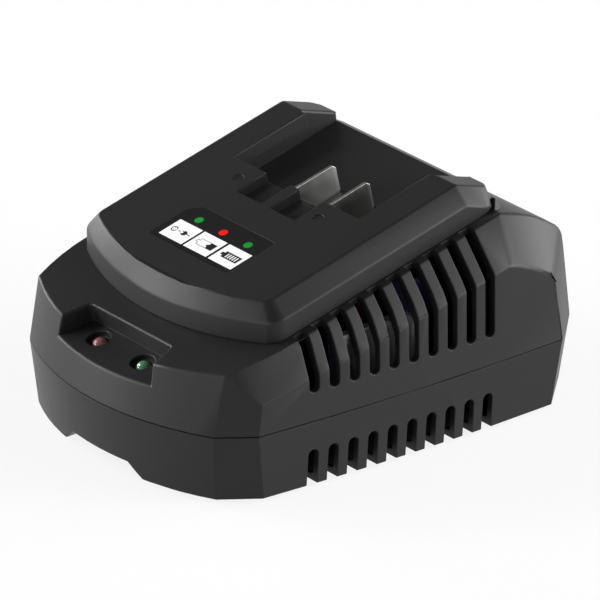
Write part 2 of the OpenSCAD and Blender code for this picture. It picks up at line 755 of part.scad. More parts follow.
module lamp_leads() {
    plug_y = post_spots[0][1] - plug_l/2;
    start_z = lamp_board_top - lamp_board_t;
    y0 = recess_y + lamp_y*cos(tilt) - start_z*sin(tilt);
    z0 = slope_z(recess_y, ledge_z) + lamp_y*sin(tilt) + start_z*cos(tilt) - 0.6;
    z1 = board_top + plug_h - 1;
    run = sqrt(pow(plug_y - y0, 2) + pow(z0 - 2 - z1, 2));
    color([0.5, 0.5, 0.52]) {
        for (i = [-1:1]) translate([i*2.6, 0, 0]) {
            translate([0, y0, z0 - 2]) cylinder(d = 1.4, h = 2, $fn = round_fn);
            translate([0, y0, z0 - 2]) sphere(d = 1.4, $fn = round_fn);
            translate([0, y0, z0 - 2]) rotate([90 + atan2(z0 - 2 - z1, plug_y - y0), 0, 0])
                translate([0, 0, -run]) cylinder(d = 1.4, h = run, $fn = round_fn);
        }
        translate([-plug_w/2, plug_y - plug_l/2, board_top]) cube([plug_w, plug_l, plug_h]);
    }
}

// ---- Main board and its parts ---------------------------------------------------------------

module main_board() {
    color([0.12, 0.36, 0.2]) difference() {
        translate([-board_w/2, board_rear_y - board_l, board_z]) cube([board_w, board_l, board_t]);
        each_side(post_spots) translate([0, 0, board_z - 1]) cylinder(d = small_screw_d + 0.3, h = board_t + 2, $fn = round_fn);
    }
}

module board_screws() {
    color([0.75, 0.75, 0.77]) each_side(post_spots) translate([0, 0, board_top]) mirror([0, 0, 1])
        screw(small_screw_d, small_head_d, small_head_h, board_t + board_post_h);
}

core_x = -14;
core_y = -4;
core_w = 30;
core_l = 13;
core_h = 27;
core_leg = 5;
core_mid = 8;
core_yoke = 4.5;
bobbin_l = 24;
bobbin_base = 2;
bobbin_t = 0.8;
core_z = board_top + bobbin_base;
window_h = core_h - 2*core_yoke;

module on_core() {
    translate([core_x, core_y, core_z]) children();
}

module transformer_core() {
    window_w = (core_w - 2*core_leg - core_mid)/2;
    color([0.22, 0.22, 0.24]) on_core() difference() {
        translate([-core_w/2, -core_l/2, 0]) cube([core_w, core_l, core_h]);
        for (s = [-1, 1]) translate([s*(core_mid + window_w)/2 - window_w/2, -core_l, core_yoke])
            cube([window_w, 2*core_l, window_h]);
    }
}

winding_w = core_w - 2*core_leg - 0.8;
fit = 0.1;

module bobbin_tube(grow, h) {
    linear_extrude(h) square([core_mid + 2*fit + 2*grow, core_l + 2*fit + 2*grow], center = true);
}

module transformer_bobbin() {
    color([0.78, 0.74, 0.62]) on_core() {
        translate([-core_w/2, -bobbin_l/2, -bobbin_base]) cube([core_w, bobbin_l, bobbin_base - 0.05]);
        for (s = [-1, 1]) translate([-winding_w/2, s*(bobbin_l/2 - 2) - 2, -0.1])
            cube([winding_w, 4, core_yoke + 0.3]);
        translate([0, 0, core_yoke + 0.1]) difference() {
            union() {
                bobbin_tube(bobbin_t, window_h - 0.2);
                for (z = [0, window_h - 0.2 - bobbin_t]) translate([-winding_w/2, -bobbin_l/2, z])
                    cube([winding_w, bobbin_l, bobbin_t]);
            }
            translate([0, 0, -1]) bobbin_tube(0, window_h + 2);
        }
    }
}

module transformer_winding() {
    h = window_h - 0.2 - 2*bobbin_t - 0.1;
    color([0.85, 0.68, 0.2]) on_core() translate([0, 0, core_yoke + 0.15 + bobbin_t]) difference() {
        linear_extrude(h) square([winding_w - 0.6, bobbin_l - 1], center = true);
        translate([0, 0, -1]) bobbin_tube(bobbin_t + 0.05, h + 2);
    }
}

bulk_spot = [22, 26];
bulk_d = 18;
bulk_h = 32;
output_spots = [[13, -27], [25, -27]];
output_d = 10;
output_h = 20;
can_groove_z = 1.6;
can_groove_r = 0.5;
film_spot = [-21, 34];
film_size = [18, 8, 15];
bridge_spot = [0.5, 38];
bridge_size = [14, 3.8, 11];
bridge_lift = 3;
bridge_pitch = 3.4;
bridge_leg = 0.8;
fuse_spot = [-29, 29];
fuse_d = 8.5;
fuse_h = 7.7;

// Places its children on the board at a spot
module on_board(spot) {
    translate([spot[0], spot[1], board_top]) children();
}

// A can capacitor that stands on the board
module can_capacitor(d, h) {
    difference() {
        cylinder(d = d, h = h, $fn = round_fn);
        translate([0, 0, can_groove_z]) rotate_extrude($fn = round_fn)
            translate([d/2, 0]) circle(r = can_groove_r, $fn = 24);
    }
}

module bulk_capacitor() {
    color([0.1, 0.16, 0.3]) on_board(bulk_spot) can_capacitor(bulk_d, bulk_h);
}

module output_capacitors() {
    color([0.13, 0.13, 0.15]) for (spot = output_spots) on_board(spot) can_capacitor(output_d, output_h);
}

module film_capacitor() {
    color([0.85, 0.72, 0.15]) on_board(film_spot) cube(film_size);
}

module bridge_rectifier() {
    x0 = (bridge_size[0] - 3*bridge_pitch - bridge_leg)/2;
    color([0.1, 0.1, 0.1]) on_board(bridge_spot) {
        translate([0, 0, bridge_lift]) cube(bridge_size);
        for (i = [0:3]) translate([x0 + bridge_pitch*i, (bridge_size[1] - bridge_leg)/2, 0])
            cube([bridge_leg, bridge_leg, bridge_lift + 0.5]);
    }
}

module fuse() {
    color([0.35, 0.16, 0.1]) on_board(fuse_spot) cylinder(d = fuse_d, h = fuse_h, $fn = round_fn);
}

choke_x = -29.5;
choke_y = 16.4;
choke_d = 15.6;
choke_h = 14;
choke_post_d = 7;
choke_cheek = 2;

module choke_core() {
    color([0.24, 0.24, 0.26]) translate([choke_x, choke_y, board_top]) {
        for (z = [0, choke_h - choke_cheek]) translate([0, 0, z]) cylinder(d = choke_d, h = choke_cheek, $fn = round_fn);
        cylinder(d = choke_post_d, h = choke_h, $fn = round_fn);
    }
}

module choke_winding() {
    color([0.72, 0.4, 0.2]) translate([choke_x, choke_y, board_top + choke_cheek + 0.05]) difference() {
        cylinder(d = choke_d - 2, h = choke_h - 2*choke_cheek - 0.1, $fn = round_fn);
        translate([0, 0, -1]) cylinder(d = choke_post_d + 0.1, h = choke_h, $fn = round_fn);
    }
}

sink_t = 2.5;
sink_fin = 3;
sink_fin_t = 1.2;
sink_x = 34.3;
transistor_sink_y = -12;
transistor_sink_l = 28;
transistor_sink_h = 26;
diode_sink_y = -28;
diode_sink_l = 24;
diode_sink_h = 22;

// A finned plate that stands on the board at the right
module heat_sink(y, l, h) {
    translate([sink_x, y, board_top]) {
        cube([sink_t, l, h]);
        for (i = [0:4]) translate([sink_t, i*(l - sink_fin_t)/4, 0]) cube([sink_fin, sink_fin_t, h]);
    }
}

package_t = 4.4;
package_w = 10;
package_h = 15;
package_lift = 5;
package_pitch = 2.54;
package_leg = 0.8;

// A power package on three legs, flat against a heat sink at the right
module package(y) {
    translate([sink_x - package_t - 0.05, y, board_top]) {
        translate([0, 0, package_lift]) cube([package_t, package_w, package_h]);
        for (i = [-1:1]) translate([package_t/2, (package_w - package_leg)/2 + package_pitch*i, 0])
            cube([0.5, package_leg, package_lift + 0.2]);
    }
}

module transistor_heat_sink() {
    color([0.74, 0.75, 0.77]) heat_sink(transistor_sink_y, transistor_sink_l, transistor_sink_h);
}

module power_transistor() {
    color([0.1, 0.1, 0.1]) package(transistor_sink_y + 3);
}

module diode_heat_sink() {
    color([0.74, 0.75, 0.77]) mirror([1, 0, 0]) heat_sink(diode_sink_y, diode_sink_l, diode_sink_h);
}

module power_diode() {
    color([0.1, 0.1, 0.1]) mirror([1, 0, 0]) package(diode_sink_y + 7);
}

// The charge controller, and the coupler that carries its signal across the board
chip_spot = [-12, -30];
chip_size = [10, 6.2, 1.8];
coupler_spot = [5, -16];
coupler_size = [6.4, 4.6, 3.6];

module control_chips() {
    color([0.08, 0.08, 0.09]) {
        on_board(chip_spot) cube(chip_size);
        on_board(coupler_spot) cube(coupler_size);
    }
}

// ---- Power inlet ----------------------------------------------------------------------------

inlet_body_l = 16;
inlet_wall = 1.6;
inlet_cavity_l = 12;
pin_pitch = 8.6;
pin_d = 2.4;
pin_l = 9.5;

module at_inlet(y) {
    translate([inlet_x, y, inlet_z]) children();
}

module inlet_socket() {
    color([0.09, 0.09, 0.1]) difference() {
        union() {
            at_inlet(inlet_face_y - inlet_body_l) inlet_shape(0, inlet_body_l);
            at_inlet(inlet_flange_y - 2) inlet_shape(2.2, 2);
        }
        at_inlet(inlet_face_y - inlet_cavity_l) inlet_shape(-inlet_wall, inlet_cavity_l + 1);
        for (s = [-1, 1]) translate([s*pin_pitch/2, 0, 0]) at_inlet(inlet_face_y - inlet_body_l - 1)
            rotate([-90, 0, 0]) cylinder(d = pin_d + 0.1, h = inlet_body_l, $fn = round_fn);
    }
}

pin_tag = 3;
pin_back_y = inlet_face_y - inlet_body_l - pin_tag;

module inlet_pins() {
    color([0.78, 0.78, 0.76]) for (s = [-1, 1]) translate([s*pin_pitch/2, 0, 0]) at_inlet(pin_back_y)
        rotate([-90, 0, 0]) {
            cylinder(d = pin_d, h = pin_tag + inlet_body_l - inlet_cavity_l + pin_l - pin_d/2, $fn = round_fn);
            translate([0, 0, pin_tag + inlet_body_l - inlet_cavity_l + pin_l - pin_d/2]) sphere(d = pin_d, $fn = round_fn);
        }
}

lead_bend = 1.6;

module inlet_leads() {
    y_end = min(board_rear_y, pin_back_y) - lead_bend;
    color([0.1, 0.2, 0.5]) for (s = [-1, 1]) translate([s*pin_pitch/2, 0, 0]) {
        at_inlet(y_end) rotate([-90, 0, 0]) cylinder(d = lead_d, h = pin_back_y - 0.05 - y_end, $fn = round_fn);
        at_inlet(y_end) sphere(d = lead_d, $fn = round_fn);
        translate([inlet_x, y_end, board_top]) cylinder(d = lead_d, h = inlet_z - board_top, $fn = round_fn);
    }
}

// ---- Fasteners and feet ---------------------------------------------------------------------

module housing_screws() {
    color([0.3, 0.3, 0.31]) each_side(boss_spots) translate([0, 0, screw_shelf_z])
        screw(screw_d, screw_head_d, screw_head_h, seam_z - screw_shelf_z + 10);
}

module dock_screws() {
    color([0.75, 0.75, 0.77]) on_deck() each_side(dock_screw_spots) translate([0, 0, plate_under])
        screw(screw_d, screw_head_d, screw_head_h, wall + dock_h - 4);
}

module rubber_feet() {
    color([0.07, 0.07, 0.07]) each_side(foot_spots) cylinder(d = foot_d, h = foot_h + foot_seat, $fn = round_fn);
}

lower_housing();
upper_housing();
battery_dock();
label_panel();
terminal_block();
middle_blade();
side_blade();
terminal_screws();
terminal_leads();
red_lamp();
green_lamp();
lamp_board();
lamp_board_screws();
lamp_leads();
main_board();
board_screws();
transformer_core();
transformer_bobbin();
transformer_winding();
bulk_capacitor();
output_capacitors();
film_capacitor();
bridge_rectifier();
fuse();
choke_core();
choke_winding();
transistor_heat_sink();
power_transistor();
diode_heat_sink();
power_diode();
control_chips();
inlet_socket();
inlet_pins();
inlet_leads();
housing_screws();
dock_screws();
rubber_feet();
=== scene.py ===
"""Dresses the battery charger: rounded mouldings, printed label, blades, lamps, circuit parts and stage."""

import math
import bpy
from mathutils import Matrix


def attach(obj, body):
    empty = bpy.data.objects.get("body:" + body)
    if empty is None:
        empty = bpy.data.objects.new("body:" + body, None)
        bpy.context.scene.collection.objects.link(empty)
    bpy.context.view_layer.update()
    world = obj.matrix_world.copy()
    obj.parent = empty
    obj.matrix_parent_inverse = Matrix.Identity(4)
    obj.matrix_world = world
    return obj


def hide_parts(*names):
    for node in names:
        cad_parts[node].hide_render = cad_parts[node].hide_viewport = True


bl_info = {
    "name": "Battery charger finishes",
    "version": (1, 0, 0),
    "blender": (4, 5, 0),
    "location": "3D View > Sidebar > Charger",
    "description": "Rounded mouldings, printed label, blades, lamps and circuit parts for a battery charger",
    "category": "Object",
}

import bmesh
import bpy
from mathutils import Matrix, Vector

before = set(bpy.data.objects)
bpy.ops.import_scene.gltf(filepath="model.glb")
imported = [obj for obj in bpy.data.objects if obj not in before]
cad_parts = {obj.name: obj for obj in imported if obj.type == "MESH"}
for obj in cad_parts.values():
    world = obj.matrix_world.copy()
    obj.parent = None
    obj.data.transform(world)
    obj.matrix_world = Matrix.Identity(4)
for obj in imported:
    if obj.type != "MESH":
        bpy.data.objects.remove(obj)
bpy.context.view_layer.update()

MM = 0.001
ROOT = "root"

# Height of the parting line, in millimetres, and the tilt that the dock and the ledge share
SEAM_Z = 21.6
TILT = math.radians(12.93)
# From the dock's and the ledge's own plane to the object's place, in metres
ON_DECK = Matrix.Translation((0, 4.3 * MM, 65.7 * MM)) @ Matrix.Rotation(TILT, 4, "X")
ON_LEDGE = Matrix.Translation((0, -56.45 * MM, 40.262 * MM)) @ Matrix.Rotation(TILT, 4, "X")


# ---- Finishes ---------------------------------------------------------------------------------

# Sockets of the Mix node when it blends colours
MIX_FACTOR, MIX_FIRST, MIX_SECOND, MIX_RESULT = 0, 6, 7, 2
BEVEL_SAMPLES = 4

# Depths of bumps and radii of softened edges, in metres
GRAIN_DEPTH = 0.000012
BRUSH_DEPTH = 0.000004
INK_DEPTH = 0.000001
MOULDED_EDGE = 0.00022
BRUSHED_EDGE = 0.00012
FILM_EDGE = 0.0001

# How fast the painted edge highlight sets in along an edge, and how pale it makes the plastic
HIGHLIGHT_GAIN = 5.0
HIGHLIGHT_SHARE = 2.6
# A face of a plated sheet that looks back at least this much gets the painted highlight of its taper
LIT_TAPER_FACING = 0.1


class Value:
    """An output socket in a finish, on which Python's operators add Math nodes."""

    def __init__(self, finish, socket):
        self.finish = finish
        self.socket = socket

    def maths(self, operation, first, second, clamp=False):
        return self.finish.node(
            "ShaderNodeMath", {"operation": operation, "use_clamp": clamp}, {0: first, 1: second}
        )

    def __add__(self, other):
        return self.maths("ADD", self, other)

    def __radd__(self, other):
        return self.maths("ADD", other, self)

    def __sub__(self, other):
        return self.maths("SUBTRACT", self, other)

    def __rsub__(self, other):
        return self.maths("SUBTRACT", other, self)

    def __mul__(self, other):
        return self.maths("MULTIPLY", self, other)

    def __rmul__(self, other):
        return self.maths("MULTIPLY", other, self)

    def __gt__(self, other):
        return self.maths("GREATER_THAN", self, other)

    def clamped(self):
        return self.maths("ADD", self, 0.0, clamp=True)


class Finish:
    """The node tree of one finish, around a single Principled shader."""

    def __init__(self, name, **constants):
        self.material = bpy.data.materials.new(name)
        self.material.use_nodes = True
        self.tree = self.material.node_tree
        self.tree.nodes.clear()
        self.shader = self.tree.nodes.new("ShaderNodeBsdfPrincipled")
        self.output = self.tree.nodes.new("ShaderNodeOutputMaterial")
        self.tree.links.new(self.shader.outputs[0], self.output.inputs["Surface"])
        for key, value in constants.items():
            self.feed(key.replace("_", " ").title().replace("Ior", "IOR"), value)
        self.place = self.node("ShaderNodeTexCoord", {}, {}, "Object")

    def node(self, kind, settings, inputs, output=0):
        """Adds a node, with its settings before its sockets, and gives one output of it."""
        made = self.tree.nodes.new(kind)
        for key, value in settings.items():
            setattr(made, key, value)
        for key, value in inputs.items():
            self.link(made.inputs[key], value)
        return Value(self, made.outputs[output])

    def link(self, socket, value):
        if isinstance(value, Value):
            self.tree.links.new(value.socket, socket)
        elif hasattr(value, "__len__") and len(value) == 3 and socket.type == "RGBA":
            socket.default_value = (*value, 1.0)
        else:
            socket.default_value = value

    def feed(self, name, value):
        self.link(self.shader.inputs[name], value)

    def noise(self, scale, detail=2.0, roughness=0.5, place=None):
        return self.node(
            "ShaderNodeTexNoise",
            {"noise_dimensions": "3D"},
            {"Vector": place or self.place, "Scale": scale, "Detail": detail, "Roughness": roughness},
        )

    def stretched(self, scale, turn=(0, 0, 0)):
        """Object coordinates, turned and scaled along each axis."""
        inputs = {"Vector": self.place, "Rotation": turn, "Scale": scale}
        return self.node("ShaderNodeMapping", {"vector_type": "POINT"}, inputs)

    def blend(self, mask, first, second):
        return self.node(
            "ShaderNodeMix",
            {"data_type": "RGBA", "blend_type": "MIX"},
            {MIX_FACTOR: mask, MIX_FIRST: tinted(first), MIX_SECOND: tinted(second)},
            MIX_RESULT,
        )

    def tone(self, mask, colour, lowest, highest):
        """A colour that drifts between two shares of itself."""
        return self.blend(mask, shaded(colour, lowest), shaded(colour, highest))

    def axis(self, index, vector):
        return self.node("ShaderNodeSeparateXYZ", {}, {0: vector}, index)

    def true_normal(self):
        return self.node("ShaderNodeNewGeometry", {}, {}, "True Normal")

    def rounded(self, radius):
        return self.node("ShaderNodeBevel", {"samples": BEVEL_SAMPLES}, {"Radius": radius})

    def bump(self, height, depth, normal=None):
        """Raises the surface by a height mask times a depth, on a softened normal if one is given."""
        inputs = {"Height": height, "Strength": 1.0, "Distance": depth}
        if normal is not None:
            inputs["Normal"] = normal
        self.feed("Normal", self.node("ShaderNodeBump", {}, inputs))


def tinted(value):
    return value if isinstance(value, Value) else (*value[:3], 1.0)


def shaded(colour, share):
    return tuple(min(1.0, c * share) for c in colour[:3])


def moulded(name, colour, roughness, grain=0.0004, edge_highlight=0.12, shine=0.3):
    """Moulded plastic: fine grain, slow drift of tone and a painted highlight that makes edges a little
    lighter.
    """
    finish = Finish(name, specular_ior_level=shine)
    drift = finish.noise(scale=26.0, detail=3.0)
    fine = finish.noise(scale=1.0 / grain)
    edge_normal = finish.rounded(MOULDED_EDGE)
    true_normal = finish.true_normal()
    facing = finish.node(
        "ShaderNodeVectorMath", {"operation": "DOT_PRODUCT"}, {0: edge_normal, 1: true_normal}, "Value"
    )
    # Painted highlight: where the rounded normal turns away from the true normal, the edge is made paler
    edge = ((1.0 - facing) * HIGHLIGHT_GAIN).clamped() * edge_highlight
    tone = finish.tone(drift, colour, 0.86, 1.14)
    finish.feed("Base Color", finish.blend(edge, tone, shaded(colour, HIGHLIGHT_SHARE)))
    finish.feed("Roughness", (roughness - 0.09) + fine * 0.1 + drift * 0.08)
    finish.bump(fine, GRAIN_DEPTH, edge_normal)
    return finish.material


def sheet_metal(name, colour, roughness, stretch, turn=(0, 0, 0), taper_highlight=None):
    """Plated sheet with brush lines and dull patches, and a painted highlight on faces that look back, such
    as a taper, where its share is given.
    """
    finish = Finish(name, metallic=1.0)
    lines = finish.noise(scale=1.0, roughness=0.6, place=finish.stretched(stretch, turn))
    patches = finish.noise(scale=240.0)
    tone = finish.tone(patches, colour, 0.82, 1.08)
    if taper_highlight is not None:
        # Painted highlight: faces that look back, such as the blades' tapers, take a lighter share of the
        # colour
        looks_back = finish.axis(1, finish.true_normal()) > LIT_TAPER_FACING
        tone = finish.blend(looks_back, tone, shaded(colour, taper_highlight))
    finish.feed("Base Color", tone)
    finish.feed("Roughness", (roughness - 0.12) + lines * 0.16 + patches * 0.1)
    finish.bump(lines, BRUSH_DEPTH, finish.rounded(BRUSHED_EDGE))
    return finish.material


def cast_surface(name, colour, roughness, grain, depth, spread=0.3):
    """Sintered, rubbery or cast surface with an open grain."""
    finish = Finish(name)
    coarse = finish.noise(scale=0.4 / grain, detail=4.0)
    fine = finish.noise(scale=1.0 / grain)
    finish.feed("Base Color", finish.tone(coarse, colour, 1 - spread, 1 + spread))
    finish.feed("Roughness", (roughness - 0.08) + fine * 0.16)
    finish.bump(fine + coarse * 0.5, depth)
    return finish.material


def insulation(name, colour, roughness=0.42):
    """Smooth coloured sleeve of a lead."""
    return cast_surface(name, colour, roughness, grain=0.0006, depth=0.000004)


def dipped_case(name, colour, roughness, spread=0.3):
    """Case of a small part, dipped in coloured resin."""
    return cast_surface(name, colour, roughness, grain=0.0005, depth=0.000006, spread=spread)


def banded(name, first, second, scale, roughness, depth, metallic=0.0):
    """Turns of wire or wraps of tape, as bands across the wound direction."""
    finish = Finish(name, metallic=metallic)
    bands = finish.node(
        "ShaderNodeTexWave",
        {"wave_type": "BANDS", "bands_direction": "Z", "wave_profile": "SIN"},
        {"Vector": finish.place, "Scale": scale, "Distortion": 0.4, "Detail": 1.0, "Detail Scale": 2.0},
    )
    drift = finish.noise(scale=300.0)
    finish.feed("Base Color", finish.blend(bands * (0.7 + drift * 0.4), second, first))
    finish.feed("Roughness", roughness + drift * 0.12)
    finish.bump(bands, depth)
    return finish.material


def printed(name, colour):
    """Screen-printed ink with a faint mottle."""
    finish = Finish(name, specular_ior_level=0.2)
    mottle = finish.noise(scale=5200.0)
    finish.feed("Base Color", finish.tone(mottle, colour, 0.95, 1.03))
    finish.feed("Roughness", 0.38 + mottle * 0.08)
    finish.bump(mottle, INK_DEPTH)
    return finish.material


# ---- Mesh helpers -----------------------------------------------------------------------------

# Distances, in metres, under which points are one and edges are nothing
SAME_POINT = 0.000003
NO_EDGE = 0.000004
SAME_TURNED_POINT = 0.000001

# Angles in degrees: what is flat in a copy of a node, where its outer edges begin,
# and what is shaded as an edge in the other pieces
FLAT = 0.35
OUTER_EDGE = 30.0
SHARP = 32.0

# The bevel modifier is as wide as an edge of full weight
FULL_WIDTH = 1.0


def finish_piece(name, bm, material, replaces=(), smooth=True, sharp=SHARP):
    """Makes a bmesh into a piece that rides on the charger."""
    mesh = bpy.data.meshes.new(name)
    for face in bm.faces:
        face.smooth = smooth
    for edge in bm.edges:
        if len(edge.link_faces) == 2 and edge.calc_face_angle(0.0) > math.radians(sharp):
            edge.smooth = False
    bm.to_mesh(mesh)
    bm.free()
    piece = bpy.data.objects.new(name, mesh)
    bpy.context.scene.collection.objects.link(piece)
    piece.data.materials.append(material)
    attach(piece, ROOT)
    if replaces:
        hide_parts(*replaces)
    return piece


def merged_copy(node, flat):
    """A closed copy of a CAD node: its triangles joined and its flat faces made whole."""
    bm = bmesh.new()
    bm.from_mesh(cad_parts[node].data)
    bmesh.ops.remove_doubles(bm, verts=bm.verts, dist=SAME_POINT)
    bmesh.ops.dissolve_degenerate(bm, edges=bm.edges, dist=NO_EDGE)
    bmesh.ops.dissolve_limit(
        bm, angle_limit=math.radians(flat), use_dissolve_boundaries=False, verts=bm.verts, edges=bm.edges
    )
    return bm


def edge_widths(bm, width_of):
    """Stores each edge's bevel width, in millimetres, as its weight; an edge left without one stays crisp."""
    weight = bm.edges.layers.float.new("bevel_weight_edge")
    for edge in bm.edges:
        if len(edge.link_faces) != 2:
            continue
        angle = math.degrees(edge.calc_face_angle_signed(0.0))
        middle = (edge.verts[0].co + edge.verts[1].co) / 2 / MM
        edge[weight] = min(FULL_WIDTH, width_of(angle, middle))


def soften(piece, segments):
    """Rounds the weighted edges and keeps the flat faces flat."""
    bevel = piece.modifiers.new("rounded edges", "BEVEL")
    bevel.limit_method = "WEIGHT"
    bevel.width = FULL_WIDTH * MM
    bevel.segments = segments
    bevel.profile = 0.5
    bevel.use_clamp_overlap = False
    bevel.harden_normals = True
    bevel.miter_outer = "MITER_SHARP"


def rounded_node(node, material, width_of=None, width=0.2, segments=3, flat=FLAT):
    """Stands for a CAD node with a copy whose outer edges are rounded, evenly unless width_of says how."""

    def even_width(angle, middle):
        return width if angle > OUTER_EDGE else 0.0

    bm = merged_copy(node, flat)
    edge_widths(bm, width_of or even_width)
    piece = finish_piece(node + "_moulding", bm, material, (node,), sharp=OUTER_EDGE)
    soften(piece, segments)


def painted_node(node, material):
    """Gives a CAD node its finish as it is."""
    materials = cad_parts[node].data.materials
    materials.clear()
    materials.append(material)


def plate(bm, outline, z, thickness):
    """Adds a flat plate on the dock's plane with that outline, in millimetres, to a bmesh."""
    corners = [bm.verts.new((x * MM, y * MM, z * MM)) for x, y in outline]
    face = bm.faces.new(corners)
    face.normal_update()
    if face.normal.z > 0:
        face.normal_flip()
    raised = bmesh.ops.extrude_face_region(bm, geom=[face])
    top = [v for v in raised["geom"] if isinstance(v, bmesh.types.BMVert)]
    bmesh.ops.translate(bm, verts=top, vec=(0, 0, thickness * MM))
    bmesh.ops.transform(bm, matrix=ON_DECK, verts=corners + top)


def ring_points(x, y, radius, count, start=0.0, sweep=360.0):
    """Points on a circle, or on an arc with both its ends."""
    steps = count if sweep >= 360 else count + 1
    return [
        (
            x + radius * math.cos(math.radians(start + sweep * i / count)),
            y + radius * math.sin(math.radians(start + sweep * i / count)),
        )
        for i in range(steps)
    ]


def turned(name, profile, place, material, replaces, steps, sharp):
    """A turned piece from its profile of radius and height, in millimetres, on the Z axis of place."""
    bm = bmesh.new()
    points = [bm.verts.new((r * MM, 0, z * MM)) for r, z in profile]
    edges = [bm.edges.new(pair) for pair in zip(points, points[1:])]
    bmesh.ops.spin(
        bm, geom=points + edges, cent=(0, 0, 0), axis=(0, 0, 1), dvec=(0, 0, 0),
        angle=math.tau, steps=steps, use_merge=True,
    )
    bmesh.ops.remove_doubles(bm, verts=bm.verts, dist=SAME_TURNED_POINT)
    bmesh.ops.recalc_face_normals(bm, faces=bm.faces)
    bmesh.ops.transform(bm, matrix=place, verts=bm.verts)
    finish_piece(name, bm, material, replaces, sharp=sharp)


# ---- Sizes and colours ------------------------------------------------------------------------


class ChargerSizes(bpy.types.PropertyGroup):
    """Sizes that a user may change before the pieces are made."""

    facet_round: bpy.props.FloatProperty(
        name="Facet rounding", description="Bevel width on the blunt edges between the housing's facets",
        default=0.5 * MM, min=0.0, max=2 * MM, unit="LENGTH", precision=5,
    )
    dock_round: bpy.props.FloatProperty(
        name="Dock rounding", description="Bevel width on the edges around the dock's chamfer",
        default=0.55 * MM, min=0.0, max=2 * MM, unit="LENGTH", precision=5,
    )
    rim_round: bpy.props.FloatProperty(
        name="Rim rounding", description="Bevel width on slots, rims and the lamp recess",
        default=0.28 * MM, min=0.0, max=0.6 * MM, unit="LENGTH", precision=5,
    )
    grain: bpy.props.FloatProperty(
        name="Plastic grain", description="Size of the moulded grain",
        default=0.45 * MM, min=0.1 * MM, max=2 * MM, unit="LENGTH", precision=5,
    )
    floor_radius: bpy.props.FloatProperty(
        name="Floor radius", description="Radius of the pale floor and of the backdrop around it",
        default=4.0, min=1.0, max=20.0, unit="LENGTH",
    )


def colour_setting(name, description, default):
    return bpy.props.FloatVectorProperty(
        name=name, description=description, default=default, size=3, min=0.0, max=1.0, subtype="COLOR"
    )


class ChargerColours(bpy.types.PropertyGroup):
    """Colours that a user may change before the pieces are made."""

    housing: colour_setting("Housing", "Colour of the two housing mouldings", (0.0142, 0.0142, 0.0148))
    dock: colour_setting("Dock", "Colour of the battery dock", (0.014, 0.014, 0.0146))
    film: colour_setting("Label film", "Colour of the label film", (0.0085, 0.0082, 0.0085))
    panel: colour_setting("Label panels", "Colour of the printed panels", (0.93, 0.93, 0.93))
    ready: colour_setting("Green dots", "Colour of the two green dots", (0.002, 0.27, 0.03))
    charging: colour_setting("Red dot", "Colour of the red dot", (0.87, 0.004, 0.004))
    blades: colour_setting("Blades", "Colour of the contact blades", (0.38, 0.376, 0.366))
    red_lens: colour_setting("Red lens", "Tint of the red lamp", (0.42, 0.15, 0.17))
    green_lens: colour_setting("Green lens", "Tint of the green lamp", (0.12, 0.36, 0.18))
    floor: colour_setting("Floor", "Colour of the floor", (0.8, 0.8, 0.8))


def sizes():
    return bpy.context.scene.charger_sizes


def colours():
    return bpy.context.scene.charger_colours


# ---- Mouldings --------------------------------------------------------------------------------

# Angles in degrees: under FOLD an edge belongs to a curve, and under BLUNT it lies between two facets
FOLD = 12
BLUNT = 58
CREST = 85
# What counts as flat in the copies of the two housings
HOUSING_FLAT = 1.6

# Bevel widths in millimetres of places that the sizes don't rule, and shares of those sizes
CORNER_WIDTH = 0.15
SEAM_WIDTH = 0.06
STOP_WIDTH = 0.1
SHOULDER_SHARE = 2.4
CREST_SHARE = 1.4
RECESS_SHARE = 2.3
TAIL_WIDTH = 0.08
DIMPLE_WIDTH = 0.05
SLOT_WIDTH = 0.03
RAIL_WIDTH = 0.9
LIP_WIDTH = 0.6
LABEL_RIM_WIDTH = 0.06

# Across the dock, in millimetres: from the middle blade to the side blade
BLADE_PITCH = 15.2


class CHARGER_OT_housing(bpy.types.Operator):
    """Makes the lower and upper housing mouldings with rounded facets, slots and rims"""

    bl_idname = "charger.housing"
    bl_label = "Housing"

    def execute(self, context):
        blunt = sizes().facet_round / MM
        rim = sizes().rim_round / MM

        def width_of(angle, middle):
            side = abs(middle.x)
            ledge = ON_LEDGE.inverted() @ (middle * MM) / MM
            front_corner = side > 40 and middle.y < -42 and middle.z < 46
            rear_corner = side > 40 and middle.y > 42 and middle.z < 33
            parting_line = abs(middle.z - SEAM_Z) < 0.4 and angle > BLUNT
            rail_stop = middle.y > 38 and middle.z > 56 and side < 46
            rear_shoulder = middle.y > 38 and middle.z > 44 and angle < BLUNT
            front_crest = middle.y < -48 and middle.z > 34 and angle < CREST
            lamp_recess = abs(ledge.x) < 24 and (ledge.y < -9.5 or (ledge.y < 1 and abs(ledge.z) < 1))
            if angle < FOLD:
                return 0.0
            if front_corner or rear_corner:
                return CORNER_WIDTH
            if parting_line:
                return SEAM_WIDTH
            if rail_stop:
                return STOP_WIDTH
            if rear_shoulder:
                return SHOULDER_SHARE * blunt
            if front_crest:
                return CREST_SHARE * blunt
            if angle < BLUNT:
                return blunt
            return RECESS_SHARE * rim if lamp_recess else rim

        plastic = moulded("housing_plastic", colours().housing, 0.42, sizes().grain, shine=0.2)
        for node in ("lower_housing", "upper_housing"):
            rounded_node(node, plastic, width_of, flat=HOUSING_FLAT)
        return {"FINISHED"}


